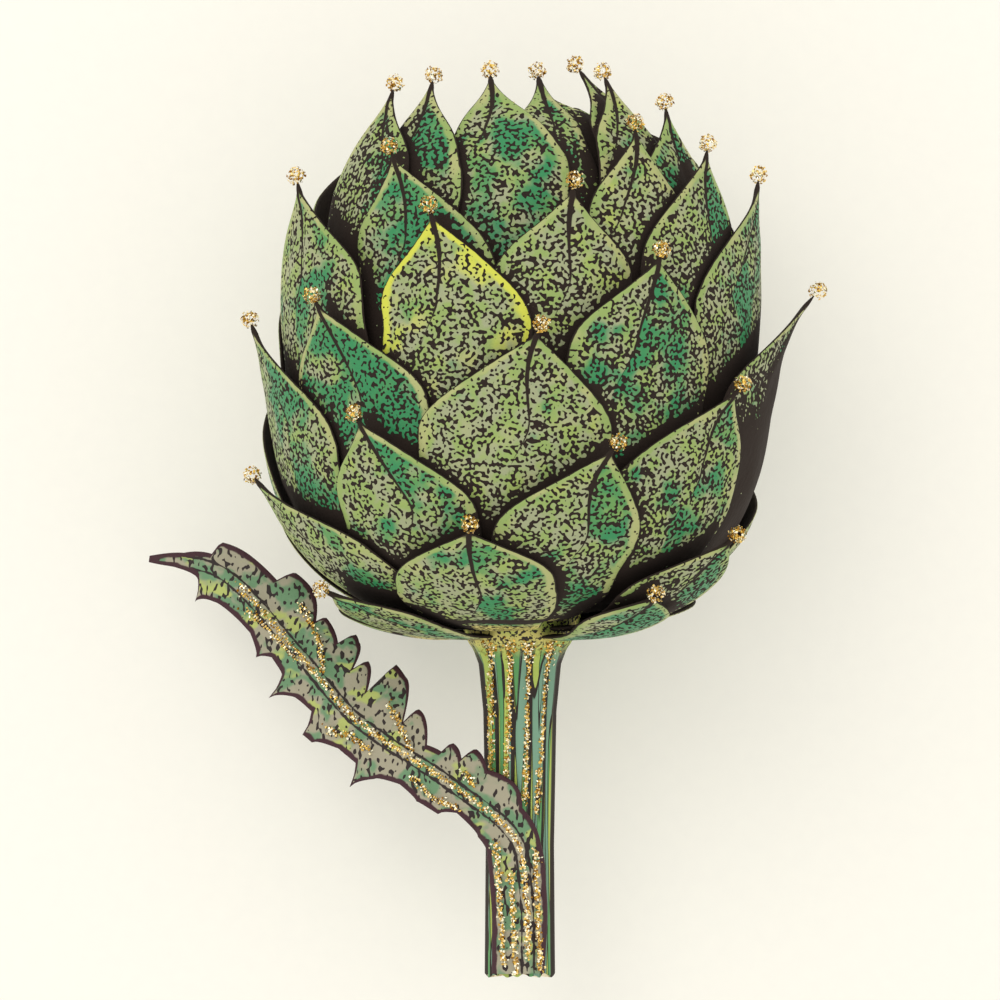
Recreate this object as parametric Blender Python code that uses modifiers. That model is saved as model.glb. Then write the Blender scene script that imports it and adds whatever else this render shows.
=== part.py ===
"""A whole globe artichoke with a length of stem and one toothed leaf, lying on its side.

The head is a stack of overlapping bracts that all grow from the receptacle, the widened top of
the stem. The plant is designed upright in its own frame, then laid down: it rests
on a small flat spot of the head at Z = 0, under its weight's centre, with the stem off the surface.

Plant frame: z runs up the axis from the join of stem and head, the front is the side that faces
up when the artichoke lies down, and an azimuth is counted from the front towards +X.
World frame: metres, +Z up, +Y towards the crown, origin at the middle of the flat spot.
"""

import math

import bmesh
import bpy
import numpy as np

# Head: a solid of revolution. Its meridian is two half superellipses, for the base and the crown.
HEAD_RADIUS = 0.0545
HEAD_BASE = -0.003
HEAD_WIDEST = 0.051
HEAD_TOP = 0.1195
BASE_ROUNDNESS = 2.65
CROWN_ROUNDNESS = 2.6

# Bracts. Each lies under the ones that it passes beneath, and leans inwards below its tip. The
# tips stand off the head, except at the back, where the artichoke's weight presses them flat.
BRACT_THICKNESS = 0.0013
LAYER_GAP = 0.0005
LAYER_SLOPE = 0.10
SIDE_ROOM = 1.5
SPINE_WIDTH = 0.0014
SPINE_LENGTH = 0.002
SPREAD = 0.002
CROWN_SPREAD = 0.005
SPREAD_REACH = 0.007
WIDEST_BELOW_TIP = 0.025
WIDEST_SHARE = 0.30
SIDE_FULLNESS = 0.6
LEAN_REACH = 0.030
PRESS = 3.0

# How it lies: on one bract of the back, with its stem a little lower than its crown.
REST_BRACT = "bract_5_6"
REST_TILT = 5.0
FLAT_SPOT_DEPTH = 0.0008

# Stem and receptacle. The stem's swell and waist are shares of its radius, and their places are
# shares of its length below the head.
STEM_LENGTH = 0.067
STEM_RADIUS = 0.0071
STEM_SWELL = 1.04
STEM_SWELL_PLACE = 0.2
STEM_WAIST = 0.97
STEM_WAIST_PLACE = 0.6
STEM_TOP_RADIUS = 0.0083
COLLAR_RADIUS = 0.0094
RECEPTACLE_FOOT_RADIUS = 0.0105
RECEPTACLE_RADIUS = 0.020
RECEPTACLE_FOOT = 0.0005
COLLAR_HEIGHT = -0.001
STEM_TOP_HEIGHT = -0.004
RECEPTACLE_TOP = 0.028
SEAT_GAP = 0.0003

# Leaf: thickness, and how far up the stem its clasping stalk reaches.
LEAF_THICKNESS = 0.0011
SHEATH_LENGTH = 0.026
SHEATH_BLEND = 0.014
LEAF_SAG = 12.0

# Each rank of bracts: (azimuth in degrees, lean of the tip in degrees, place of the tip along the
# meridian, width in degrees, further spread of a bent tip). The place is 0 at the middle of the
# base and 1 at the crown's.
RANKS = (
    ((-49, -11, 0.253, 42), (42, -5, 0.247, 38), (98, 36, 0.247, 44), (152, -2, 0.245, 42),
     (-162, 4, 0.255, 42), (-102, -34, 0.250, 44)),
    ((-14, 3, 0.327, 50), (49, 8, 0.315, 40), (122, 4, 0.320, 42), (178, -4, 0.325, 44),
     (-132, -4, 0.320, 42)),
    ((-54, -30, 0.377, 40), (-29, -8, 0.440, 40), (10, 10, 0.410, 38), (96, 27, 0.388, 42),
     (150, 3, 0.400, 42), (-150, 0, 0.405, 42), (-112, -14, 0.395, 44)),
    ((39, 14, 0.471, 42), (122, 4, 0.480, 44), (-136, -6, 0.485, 44), (-102, -14, 0.475, 42),
     (-2, 6, 0.531, 46), (-68, -20, 0.539, 42)),
    ((-42, -9, 0.562, 44), (70, 20, 0.566, 40, 0.005), (29, 3, 0.609, 40), (114, 10, 0.570, 44),
     (150, 3, 0.555, 40), (180, 0, 0.600, 48), (-152, -3, 0.560, 40)),
    ((-16, -5, 0.656, 38), (10, 3, 0.686, 38), (-60, -7, 0.690, 42), (66, 21, 0.694, 40),
     (129, 4, 0.650, 46), (-110, -16, 0.620, 48), (-150, -2, 0.670, 46)),
    ((-26, -11, 0.730, 40), (50, 8, 0.730, 38), (33, 2, 0.760, 34), (108, 20, 0.705, 46),
     (168, 2, 0.700, 48), (-134, -4, 0.740, 46)),
    ((52, 6, 0.800, 34), (-50, -6, 0.829, 34), (134, 4, 0.780, 46), (-98, -30, 0.745, 50),
     (-164, -3, 0.785, 46), (-146, -24, 0.815, 46)),
    ((-5, -13, 0.894, 42), (-34, -10, 0.860, 32), (40, 6, 0.870, 30), (12, 4, 0.927, 32),
     (101, 40, 0.815, 58), (46, 6, 0.918, 34), (-166, -6, 0.870, 46)),
)

# Leaf midrib, tip first: (sideways from the plant's axis as a share of the head's radius, height
# above the cut end as a share of the stem's length), so that the leaf stays clear of the head.
LEAF_MIDRIB = (
    (-1.3832, 1.2537), (-1.1028, 1.2090), (-0.8224, 0.9701), (-0.5981, 0.7687),
    (-0.2804, 0.5970), (-0.0280, 0.4328), (0.0224, 0.2537), (0.0299, 0.0149),
)
# Leaf margins: (distance from the tip along the midrib, reach from the midrib), tooth by tooth.
UPPER_MARGIN = (
    (0.000, 0.0006), (0.007, 0.0017), (0.012, 0.0024), (0.013, 0.0050), (0.018, 0.0055),
    (0.024, 0.0056), (0.0255, 0.0090), (0.029, 0.0094), (0.0355, 0.0062), (0.0365, 0.0080),
    (0.0415, 0.0066), (0.0425, 0.0100), (0.044, 0.0096), (0.0475, 0.0058), (0.0485, 0.0087),
    (0.0535, 0.0050), (0.0545, 0.0120), (0.059, 0.0114), (0.064, 0.0046), (0.0655, 0.0080),
    (0.0705, 0.0034), (0.0735, 0.0038), (0.0745, 0.0062), (0.0775, 0.0048), (0.079, 0.0077),
    (0.083, 0.0058), (0.088, 0.0068), (0.092, 0.0044), (0.098, 0.0038), (0.122, 0.0030),
)
LOWER_MARGIN = (
    (0.000, 0.0006), (0.006, 0.0012), (0.011, 0.0029), (0.0125, 0.0072), (0.018, 0.0054),
    (0.025, 0.0046), (0.0285, 0.0045), (0.033, 0.0066), (0.035, 0.0043), (0.039, 0.0050),
    (0.041, 0.0098), (0.044, 0.0061), (0.0485, 0.0051), (0.0505, 0.0093), (0.0525, 0.0090),
    (0.0565, 0.0064), (0.0605, 0.0066), (0.062, 0.0110), (0.065, 0.0072), (0.070, 0.0054),
    (0.075, 0.0064), (0.080, 0.0060), (0.083, 0.0038), (0.090, 0.0051), (0.098, 0.0066),
    (0.122, 0.0068),
)
# Where the leaf's midrib hangs free: (distance from the tip, distance to the front of the axis).
LEAF_FRONT = ((0.0, -0.026), (0.025, -0.018), (0.040, -0.011), (0.055, -0.003), (0.070, 0.006),
              (0.086, 0.0102))

# Mesh fineness.
TURNED_STEPS = 48
BRACT_COLUMNS = 4
TIP_ROWS = (0.0, 0.0025, 0.007, 0.012, 0.018, 0.025)
ROW_SPACING = 0.012
LEAF_COLUMNS = 4
FINE = 2001
CURVE_STEPS = 40
DIRECTION_RUN = 0.002
ROW_ROOM = ROW_SPACING / 16
LOW_PLACE = 0.4
HIGH_PLACE = 0.7
FULL_TURN = 360

COLOURS = {
    "low": (0.33, 0.45, 0.26),
    "middle": (0.28, 0.48, 0.28),
    "high": (0.36, 0.45, 0.24),
    "bud": (0.42, 0.47, 0.28),
    "stem": (0.48, 0.55, 0.26),
    "leaf": (0.36, 0.46, 0.33),
}


def clear_scene():
    """Remove every object and the data left behind it."""
    for item in list(bpy.data.objects):
        bpy.data.objects.remove(item, do_unlink=True)
    for store in (bpy.data.meshes, bpy.data.curves, bpy.data.materials, bpy.data.collections):
        for item in list(store):
            store.remove(item)


def new_collection(name):
    """A collection linked to the scene."""
    made = bpy.data.collections.new(name)
    bpy.context.scene.collection.children.link(made)
    return made


def finish(name, colour):
    """A waxy plant skin."""
    made = bpy.data.materials.new(name)
    made.use_nodes = True
    shader = made.node_tree.nodes["Principled BSDF"]
    shader.inputs["Base Color"].default_value = (*colour, 1.0)
    shader.inputs["Roughness"].default_value = 0.55
    shader.inputs["Metallic"].default_value = 0.0
    return made


class Meridian:
    """The head's meridian by arc length, from the middle of the base to the middle of the crown."""

    def __init__(self):
        turn = np.linspace(-math.pi / 2, math.pi / 2, FINE)
        power = 2.0 / np.where(turn < 0, BASE_ROUNDNESS, CROWN_ROUNDNESS)
        rise = np.where(turn < 0, HEAD_WIDEST - HEAD_BASE, HEAD_TOP - HEAD_WIDEST)
        self.radius = HEAD_RADIUS * np.abs(np.cos(turn)) ** power
        self.height = HEAD_WIDEST + rise * np.sign(turn) * np.abs(np.sin(turn)) ** power
        steps = np.hypot(np.diff(self.radius), np.diff(self.height))
        self.arc = np.concatenate(([0.0], np.cumsum(steps)))
        self.length = float(self.arc[-1])
        self.widest = float(self.arc[FINE // 2])
        along_r = np.gradient(self.radius, self.arc)
        along_z = np.gradient(self.height, self.arc)
        size = np.hypot(along_r, along_z)
        self.out_r = along_z / size
        self.out_z = -along_r / size

    def point(self, arc, depth):
        """Radius and height of the point at an arc length, moved inwards by depth."""
        radius = np.interp(arc, self.arc, self.radius)
        height = np.interp(arc, self.arc, self.height)
        out_r = np.interp(arc, self.arc, self.out_r)
        out_z = np.interp(arc, self.arc, self.out_z)
        return radius - depth * out_r, height - depth * out_z


def receptacle_radius(height):
    """Radius of the receptacle's side, which the bracts grow from."""
    share = (height - RECEPTACLE_FOOT) / (RECEPTACLE_TOP - RECEPTACLE_FOOT)
    share = np.clip(share, 0.0, 1.0)
    return RECEPTACLE_FOOT_RADIUS + share * (RECEPTACLE_RADIUS - RECEPTACLE_FOOT_RADIUS)


class Bract:
    """One bract: its place on the head and the surface that it follows."""

    def __init__(self, name, meridian, azimuth, lean, place, width, bent=0.0):
        self.name = name
        self.azimuth = math.radians(azimuth)
        self.lean = math.radians(lean)
        self.place = place
        self.half_width = math.radians(width) / 2
        self.meridian = meridian
        self.tip = place * meridian.length
        pressed = min(1.0, PRESS * (1 + math.cos(self.azimuth + self.lean)))
        opening = SPREAD + (CROWN_SPREAD - SPREAD) * max(0.0, 2 * place - 1)
        self.spread = pressed * opening + bent
        self.inset = 0.0

    def depth(self, arc):
        """How far the outer face lies under the head's outline."""
        below = np.maximum(self.tip - arc, 0.0)
        return self.inset + LAYER_SLOPE * below - self.spread * np.exp(-below / SPREAD_REACH)

    def centre(self, arc):
        """Azimuth of the middle line, which leans near the tip."""
        below = np.clip((self.tip - arc) / LEAN_REACH, 0.0, 1.0)
        return self.azimuth + self.lean * (1 - below) ** 2

    def half_angle(self, arc):
        """Half of the width as an angle: a narrow spine, then rounded sides to the full width."""
        radius, _ = self.meridian.point(arc, self.depth(arc))
        spine = SPINE_WIDTH / 2 / radius
        run = min(WIDEST_BELOW_TIP, WIDEST_SHARE * self.tip) - SPINE_LENGTH
        below = np.clip((self.tip - SPINE_LENGTH - arc) / run, 0.0, 1.0)
        return spine + (self.half_width - spine) * below * (1 + SIDE_FULLNESS - SIDE_FULLNESS * below)

    def base_arc(self):
        """Arc length where the bract meets the receptacle."""
        arc = np.linspace(0.0, min(self.tip, self.meridian.widest), FINE)
        radius, height = self.meridian.point(arc, self.depth(arc) + BRACT_THICKNESS / 2)
        lean = (RECEPTACLE_RADIUS - RECEPTACLE_FOOT_RADIUS) / (RECEPTACLE_TOP - RECEPTACLE_FOOT)
        room = SEAT_GAP + BRACT_THICKNESS / 2 * lean
        inside = radius < receptacle_radius(height) + room
        return float(arc[np.nonzero(inside)[0][-1] + 1])

    def rows(self):
        """Arc lengths of the rows of the mesh, base first: common rows, then closer ones at the tip."""
        base = self.base_arc()
        close = self.tip - np.array(TIP_ROWS)
        common = np.arange(0.0, self.meridian.length, ROW_SPACING)
        common = common[(common > base + ROW_ROOM) & (common < close.min() - ROW_ROOM)]
        close = close[close > base + ROW_ROOM]
        return np.concatenate(([base], common, close[::-1]))


def needed_inset(inner, outer):
    """How deep the inner bract's tip has to start to pass beneath the outer one."""
    arc = np.linspace(0.0, min(inner.tip, outer.tip), FINE)
    apart = inner.centre(arc) - outer.centre(arc)
    apart = np.abs((apart + math.pi) % (2 * math.pi) - math.pi)
    touching = apart < inner.half_angle(arc) + outer.half_angle(arc) + math.radians(SIDE_ROOM)
    if not touching.any():
        return 0.0
    missing = outer.depth(arc) + BRACT_THICKNESS + LAYER_GAP - inner.depth(arc)
    return max(0.0, float(missing[touching].max()))


def settle_layers(bracts):
    """Start each bract just deep enough to clear all the bracts with lower tips."""
    ordered = sorted(bracts, key=lambda bract: bract.tip)
    for i, bract in enumerate(ordered):
        bract.inset = max([needed_inset(bract, outer) for outer in ordered[:i]], default=0.0)


class Pose:
    """The way from the plant's upright frame to the world, with the artichoke lying down."""

    def __init__(self, rest_bract):
        self.sine = math.sin(math.radians(REST_TILT))
        self.cosine = math.cos(math.radians(REST_TILT))
        arc = np.linspace(rest_bract.base_arc(), rest_bract.tip, FINE)
        radius, height = rest_bract.meridian.point(arc, rest_bract.depth(arc))
        drop = radius * self.cosine - height * self.sine
        lowest = int(np.argmax(drop))
        self.lift = float(drop[lowest]) - FLAT_SPOT_DEPTH
        self.back = float(height[lowest] * self.cosine + radius[lowest] * self.sine)

    def place(self, side, front, up):
        """World point of a plant point."""
        along = up * self.cosine - front * self.sine - self.back
        return side, along, up * self.sine + front * self.cosine + self.lift


def add_object(name, mesh, material, collection):
    """Link a mesh as a named object with one material."""
    mesh.materials.append(material)
    made = bpy.data.objects.new(name, mesh)
    collection.objects.link(made)
    return made


def sheet_mesh(name, columns, rows, surface):
    """A grid of faces bent by surface(across, row), across from -1 to 1."""
    grid = bmesh.new()
    bmesh.ops.create_grid(grid, x_segments=columns, y_segments=rows - 1, size=1.0)
    for vert in grid.verts:
        across = vert.co.x
        row = round((vert.co.y + 1) / 2 * (rows - 1))
        vert.co = surface(across, row)
    mesh = bpy.data.meshes.new(name)
    grid.to_mesh(mesh)
    grid.free()
    return mesh


def thicken(item, thickness):
    """Give an open sheet its thickness, inwards from its outer face."""
    wall = item.modifiers.new("thickness", "SOLIDIFY")
    wall.thickness = thickness
    wall.offset = -1.0
    wall.use_even_offset = True


def make_bract(bract, pose, material, collection):
    """One bract, from the receptacle to its spine."""
    rows = bract.rows()
    radius, height = bract.meridian.point(rows, bract.depth(rows))
    half = bract.half_angle(rows)
    centre = bract.centre(rows)

    def surface(across, row):
        angle = centre[row] + across * half[row]
        return pose.place(radius[row] * math.sin(angle), radius[row] * math.cos(angle), height[row])

    mesh = sheet_mesh(bract.name, BRACT_COLUMNS, len(rows), surface)
    made = add_object(bract.name, mesh, material, collection)
    thicken(made, BRACT_THICKNESS)
    return made


def turned(name, profile, pose, material, collection):
    """A solid turned about the plant's axis from (radius, height) points, top to bottom."""
    mesh = bpy.data.meshes.new(name)
    points = [(radius, 0.0, height) for radius, height in profile]
    edges = [(i, i + 1) for i in range(len(points) - 1)]
    mesh.from_pydata(points, edges, [])
    made = add_object(name, mesh, material, collection)
    screw = made.modifiers.new("turn", "SCREW")
    screw.axis = "Z"
    screw.steps = TURNED_STEPS
    screw.render_steps = TURNED_STEPS
    screw.use_merge_vertices = True
    screw.merge_threshold = 0.00001
    screw.use_smooth_shade = True
    made.location = pose.place(0.0, 0.0, 0.0)
    made.rotation_euler = (math.atan2(pose.sine, pose.cosine) - math.pi / 2, 0.0, 0.0)
    return made


def make_stem_and_heart(pose, material, collection):
    """The stem and the receptacle that widens from it, one grown piece."""
    profile = (
        (0.0, RECEPTACLE_TOP),
        (RECEPTACLE_RADIUS, RECEPTACLE_TOP),
        (RECEPTACLE_FOOT_RADIUS, RECEPTACLE_FOOT),
        (COLLAR_RADIUS, COLLAR_HEIGHT),
        (STEM_TOP_RADIUS, STEM_TOP_HEIGHT),
        (STEM_RADIUS * STEM_SWELL, -STEM_LENGTH * STEM_SWELL_PLACE),
        (STEM_RADIUS * STEM_WAIST, -STEM_LENGTH * STEM_WAIST_PLACE),
        (STEM_RADIUS, -STEM_LENGTH),
        (0.0, -STEM_LENGTH),
    )
    return turned("stem_and_heart", profile, pose, material, collection)


def make_inner_bud(bracts, meridian, pose, material, collection):
    """The closed young bracts in the middle, one layer inside all the open ones."""
    bud = Bract("inner_bud", meridian, 0, 0, 1.0, 2 * FULL_TURN)
    bud.spread = 0.0
    bud.inset = max(needed_inset(bud, bract) for bract in bracts)
    arc = np.arange(ROW_SPACING, meridian.length - ROW_SPACING / 4, ROW_SPACING)
    arc = np.append(arc, (meridian.length - ROW_SPACING / 4, meridian.length))
    radius, height = meridian.point(arc, bud.depth(arc))
    floor = RECEPTACLE_TOP + SEAT_GAP
    upper = height > floor + SEAT_GAP
    rim = float(np.interp(floor, height, radius))
    side = list(zip(radius[upper], height[upper]))[::-1]
    side[0] = (0.0, side[0][1])
    profile = [*side, (rim, floor), (0.0, floor)]
    return turned("inner_bud", profile, pose, material, collection)


def smooth_curve(points, steps):
    """A Catmull-Rom curve through plane points, as many points as steps for each span."""
    points = np.array(points, dtype=float)
    points = np.vstack((2 * points[0] - points[1], points, 2 * points[-1] - points[-2]))
    share = np.linspace(0.0, 1.0, steps, endpoint=False)[:, None]
    spans = []
    for i in range(1, len(points) - 2):
        before, start, end, after = points[i - 1:i + 3]
        bend = 2 * before - 5 * start + 4 * end - after
        twist = -before + 3 * start - 3 * end + after
        spans.append(0.5 * (2 * start + (end - before) * share + bend * share**2 + twist * share**3))
    spans.append(points[-2][None])
    return np.vstack(spans)


class Leaf:
    """The toothed leaf: its outline along the midrib, and how it hangs from the stem."""

    def __init__(self, pose):
        self.pose = pose
        line = smooth_curve(LEAF_MIDRIB, CURVE_STEPS) * (HEAD_RADIUS, STEM_LENGTH)
        self.side = line[:, 0]
        self.up = line[:, 1] - STEM_LENGTH
        steps = np.hypot(np.diff(self.side), np.diff(self.up))
        self.arc = np.concatenate(([0.0], np.cumsum(steps)))
        self.length = float(self.arc[-1])
        marks = {arc for arc, _ in (*UPPER_MARGIN, *LOWER_MARGIN) if arc < self.length - DIRECTION_RUN / 2}
        self.rows = np.array(sorted(marks | {self.length - i * SHEATH_LENGTH / 3 for i in range(3)}))

    def surface(self, across, row):
        """World point at a share of the way from the midrib to a margin, + is the lower margin."""
        arc = self.rows[row]
        margin = LOWER_MARGIN if across > 0 else UPPER_MARGIN
        reach = -np.interp(arc, [p[0] for p in margin], [p[1] for p in margin]) * across
        ahead = min(arc + DIRECTION_RUN, self.length)
        behind = ahead - DIRECTION_RUN
        run = np.interp(ahead, self.arc, self.side) - np.interp(behind, self.arc, self.side)
        climb = np.interp(ahead, self.arc, self.up) - np.interp(behind, self.arc, self.up)
        size = math.hypot(run, climb)
        side = np.interp(arc, self.arc, self.side) - reach * climb / size
        up = np.interp(arc, self.arc, self.up) + reach * run / size
        return self.pose.place(side, self.front(arc, side, reach), up)

    def front(self, arc, side, reach):
        """How far to the front the blade lies: clasping the stem at its foot, then hanging."""
        wrap = STEM_RADIUS * STEM_SWELL + SEAT_GAP + LEAF_THICKNESS
        clasped = math.sqrt(max(wrap**2 - side**2, 0.0))
        places, fronts = zip(*LEAF_FRONT)
        hanging = float(np.interp(arc, places, fronts)) - LEAF_SAG * reach**2
        share = (arc - self.length + SHEATH_LENGTH + SHEATH_BLEND) / SHEATH_BLEND
        share = min(max(share, 0.0), 1.0)
        share = share * share * (3 - 2 * share)
        return clasped * share + hanging * (1 - share)


def make_leaf(pose, material, collection):
    """The leaf, a toothed sheet."""
    leaf = Leaf(pose)
    mesh = sheet_mesh("leaf", LEAF_COLUMNS, len(leaf.rows), leaf.surface)
    made = add_object("leaf", mesh, material, collection)
    thicken(made, LEAF_THICKNESS)
    return made


def lowest_point(item):
    """Height of the lowest point of an object after its modifiers."""
    bpy.context.view_layer.update()
    seen = item.evaluated_get(bpy.context.evaluated_depsgraph_get())
    return min((seen.matrix_world @ vert.co).z for vert in seen.data.vertices)


def trim_at_surface(items, cutters):
    """Flatten whatever would reach under the surface, which leaves the small flat spot."""
    block = bmesh.new()
    bmesh.ops.create_cube(block, size=1.0)
    for vert in block.verts:
        vert.co.z -= 0.5
    mesh = bpy.data.meshes.new("surface")
    block.to_mesh(mesh)
    block.free()
    surface = bpy.data.objects.new("surface", mesh)
    surface.hide_render = True
    surface.display_type = "WIRE"
    cutters.objects.link(surface)
    for item in items:
        if lowest_point(item) < 0.0:
            cut = item.modifiers.new("flat spot", "BOOLEAN")
            cut.operation = "DIFFERENCE"
            cut.solver = "EXACT"
            cut.object = surface


def main():
    clear_scene()
    parts = new_collection("artichoke")
    cutters = new_collection("cutters")
    meridian = Meridian()
    bracts = [
        Bract(f"bract_{rank}_{number}", meridian, *numbers)
        for rank, row in enumerate(RANKS, 1)
        for number, numbers in enumerate(row, 1)
    ]
    settle_layers(bracts)
    rest_bract = next(bract for bract in bracts if bract.name == REST_BRACT)
    pose = Pose(rest_bract)
    items = []
    for bract in bracts:
        tone = "low" if bract.place < LOW_PLACE else "middle" if bract.place < HIGH_PLACE else "high"
        material = finish(f"{bract.name}_skin", COLOURS[tone])
        items.append(make_bract(bract, pose, material, parts))
    make_stem_and_heart(pose, finish("stem_skin", COLOURS["stem"]), parts)
    make_inner_bud(bracts, meridian, pose, finish("bud_skin", COLOURS["bud"]), parts)
    make_leaf(pose, finish("leaf_skin", COLOURS["leaf"]), parts)
    trim_at_surface(items, cutters)


main()
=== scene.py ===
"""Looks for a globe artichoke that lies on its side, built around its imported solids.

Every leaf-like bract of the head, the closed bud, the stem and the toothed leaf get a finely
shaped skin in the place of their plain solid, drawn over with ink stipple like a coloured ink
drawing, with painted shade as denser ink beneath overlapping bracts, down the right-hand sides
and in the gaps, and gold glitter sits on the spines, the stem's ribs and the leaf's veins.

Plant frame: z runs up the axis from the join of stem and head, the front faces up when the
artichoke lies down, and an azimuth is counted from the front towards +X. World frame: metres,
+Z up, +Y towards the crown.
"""

import logging
import math
from dataclasses import dataclass, field
from enum import Enum

import bpy
import numpy as np
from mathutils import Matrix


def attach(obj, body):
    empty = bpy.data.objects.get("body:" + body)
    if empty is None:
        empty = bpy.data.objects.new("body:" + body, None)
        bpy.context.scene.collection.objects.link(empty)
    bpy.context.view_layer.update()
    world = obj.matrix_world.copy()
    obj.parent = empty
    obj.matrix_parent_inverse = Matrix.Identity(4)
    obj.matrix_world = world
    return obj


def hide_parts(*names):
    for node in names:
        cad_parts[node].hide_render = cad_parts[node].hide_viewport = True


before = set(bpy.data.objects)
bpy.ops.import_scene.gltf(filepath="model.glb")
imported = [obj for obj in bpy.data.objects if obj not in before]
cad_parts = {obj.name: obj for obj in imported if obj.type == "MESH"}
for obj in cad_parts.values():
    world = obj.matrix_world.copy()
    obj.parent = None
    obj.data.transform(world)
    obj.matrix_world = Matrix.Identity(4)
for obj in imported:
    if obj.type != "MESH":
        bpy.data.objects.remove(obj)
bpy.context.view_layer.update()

log = logging.getLogger("artichoke")
Array = np.ndarray
Colour = tuple[int, int, int]
Point2 = tuple[float, float]

BODY = "root"

# Each rank of bracts: (azimuth in degrees, lean of the tip in degrees, place of the tip along the
# meridian, width in degrees, further spread of a bent tip).
RANKS = (
    ((-49, -11, 0.253, 42), (42, -5, 0.247, 38), (98, 36, 0.247, 44), (152, -2, 0.245, 42),
     (-162, 4, 0.255, 42), (-102, -34, 0.250, 44)),
    ((-14, 3, 0.327, 50), (49, 8, 0.315, 40), (122, 4, 0.320, 42), (178, -4, 0.325, 44),
     (-132, -4, 0.320, 42)),
    ((-54, -30, 0.377, 40), (-29, -8, 0.440, 40), (10, 10, 0.410, 38), (96, 27, 0.388, 42),
     (150, 3, 0.400, 42), (-150, 0, 0.405, 42), (-112, -14, 0.395, 44)),
    ((39, 14, 0.471, 42), (122, 4, 0.480, 44), (-136, -6, 0.485, 44), (-102, -14, 0.475, 42),
     (-2, 6, 0.531, 46), (-68, -20, 0.539, 42)),
    ((-42, -9, 0.562, 44), (70, 20, 0.566, 40, 0.005), (29, 3, 0.609, 40), (114, 10, 0.570, 44),
     (150, 3, 0.555, 40), (180, 0, 0.600, 48), (-152, -3, 0.560, 40)),
    ((-16, -5, 0.656, 38), (10, 3, 0.686, 38), (-60, -7, 0.690, 42), (66, 21, 0.694, 40),
     (129, 4, 0.650, 46), (-110, -16, 0.620, 48), (-150, -2, 0.670, 46)),
    ((-26, -11, 0.730, 40), (50, 8, 0.730, 38), (33, 2, 0.760, 34), (108, 20, 0.705, 46),
     (168, 2, 0.700, 48), (-134, -4, 0.740, 46)),
    ((52, 6, 0.800, 34), (-50, -6, 0.829, 34), (134, 4, 0.780, 46), (-98, -30, 0.745, 50),
     (-164, -3, 0.785, 46), (-146, -24, 0.815, 46)),
    ((-5, -13, 0.894, 42), (-34, -10, 0.860, 32), (40, 6, 0.870, 30), (12, 4, 0.927, 32),
     (101, 40, 0.815, 58), (46, 6, 0.918, 34), (-166, -6, 0.870, 46)),
)
# The closed young bracts: (how many, place of the tips, width in degrees, first azimuth).
YOUNG_RINGS = ((8, 0.936, 58, 30), (6, 0.962, 66, 34), (5, 0.984, 80, 0))


class Tint(Enum):
    """How a bract is coloured: (green, yellow, dark), from 0 up. Dark is painted shade as ink; over 1
    is nearly all ink.
    """

    EMERALD = (0.85, 0.10, 0.0)
    GREEN = (0.45, 0.25, 0.0)
    PALE = (0.15, 0.35, 0.0)
    YELLOW = (0.10, 1.00, 0.0)
    # DEEP, SHADE and NIGHT paint shade with their dark: more ink, up to nearly all ink on a shaded
    # flank.
    DEEP = (0.55, 0.15, 0.35)
    SHADE = (0.45, 0.10, 1.10)
    NIGHT = (0.30, 0.05, 1.60)
    YOUNG = (0.30, 0.20, 0.30)


# The bracts of each tint. The others draw one at random.
TINTED = {
    Tint.EMERALD: "1_2 5_1 7_1 8_1",
    Tint.GREEN: "1_1 2_1 3_1 3_2 3_3 4_1 6_3 9_1",
    Tint.PALE: "4_5 6_2 7_3 9_3",
    Tint.YELLOW: "6_1",
    Tint.DEEP: "2_2 4_6 5_3 6_4 7_2 9_2 9_4",
    Tint.SHADE: "8_2",
    Tint.NIGHT: "5_2",
}
TINTS = {f"bract_{place}": tint for tint, row in TINTED.items() for place in row.split()}

# How fast the pale foot fades on these bracts, against 1 on the others.
FOOT_SHARES = {"bract_1_1": 3.0, "bract_1_2": 3.0, "bract_2_1": 0.8}


def smooth_step(value: Array, low: float, high: float) -> Array:
    """Rise smoothly from 0 at low to 1 at high: 3 s^2 - 2 s^3 of the clipped share s."""
    share = np.clip((value - low) / (high - low), 0.0, 1.0)
    return share * share * (3 - 2 * share)


def linear(colour: Colour) -> tuple[float, float, float, float]:
    """A display colour of 0 to 255 as linear light, with full alpha."""
    share = np.array(colour) / 255
    light = np.where(share <= 0.04045, share / 12.92, ((share + 0.055) / 1.055) ** 2.4)
    return (*map(float, light), 1.0)


# ---------------------------------------------------------------- shapes shared with the solids


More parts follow.
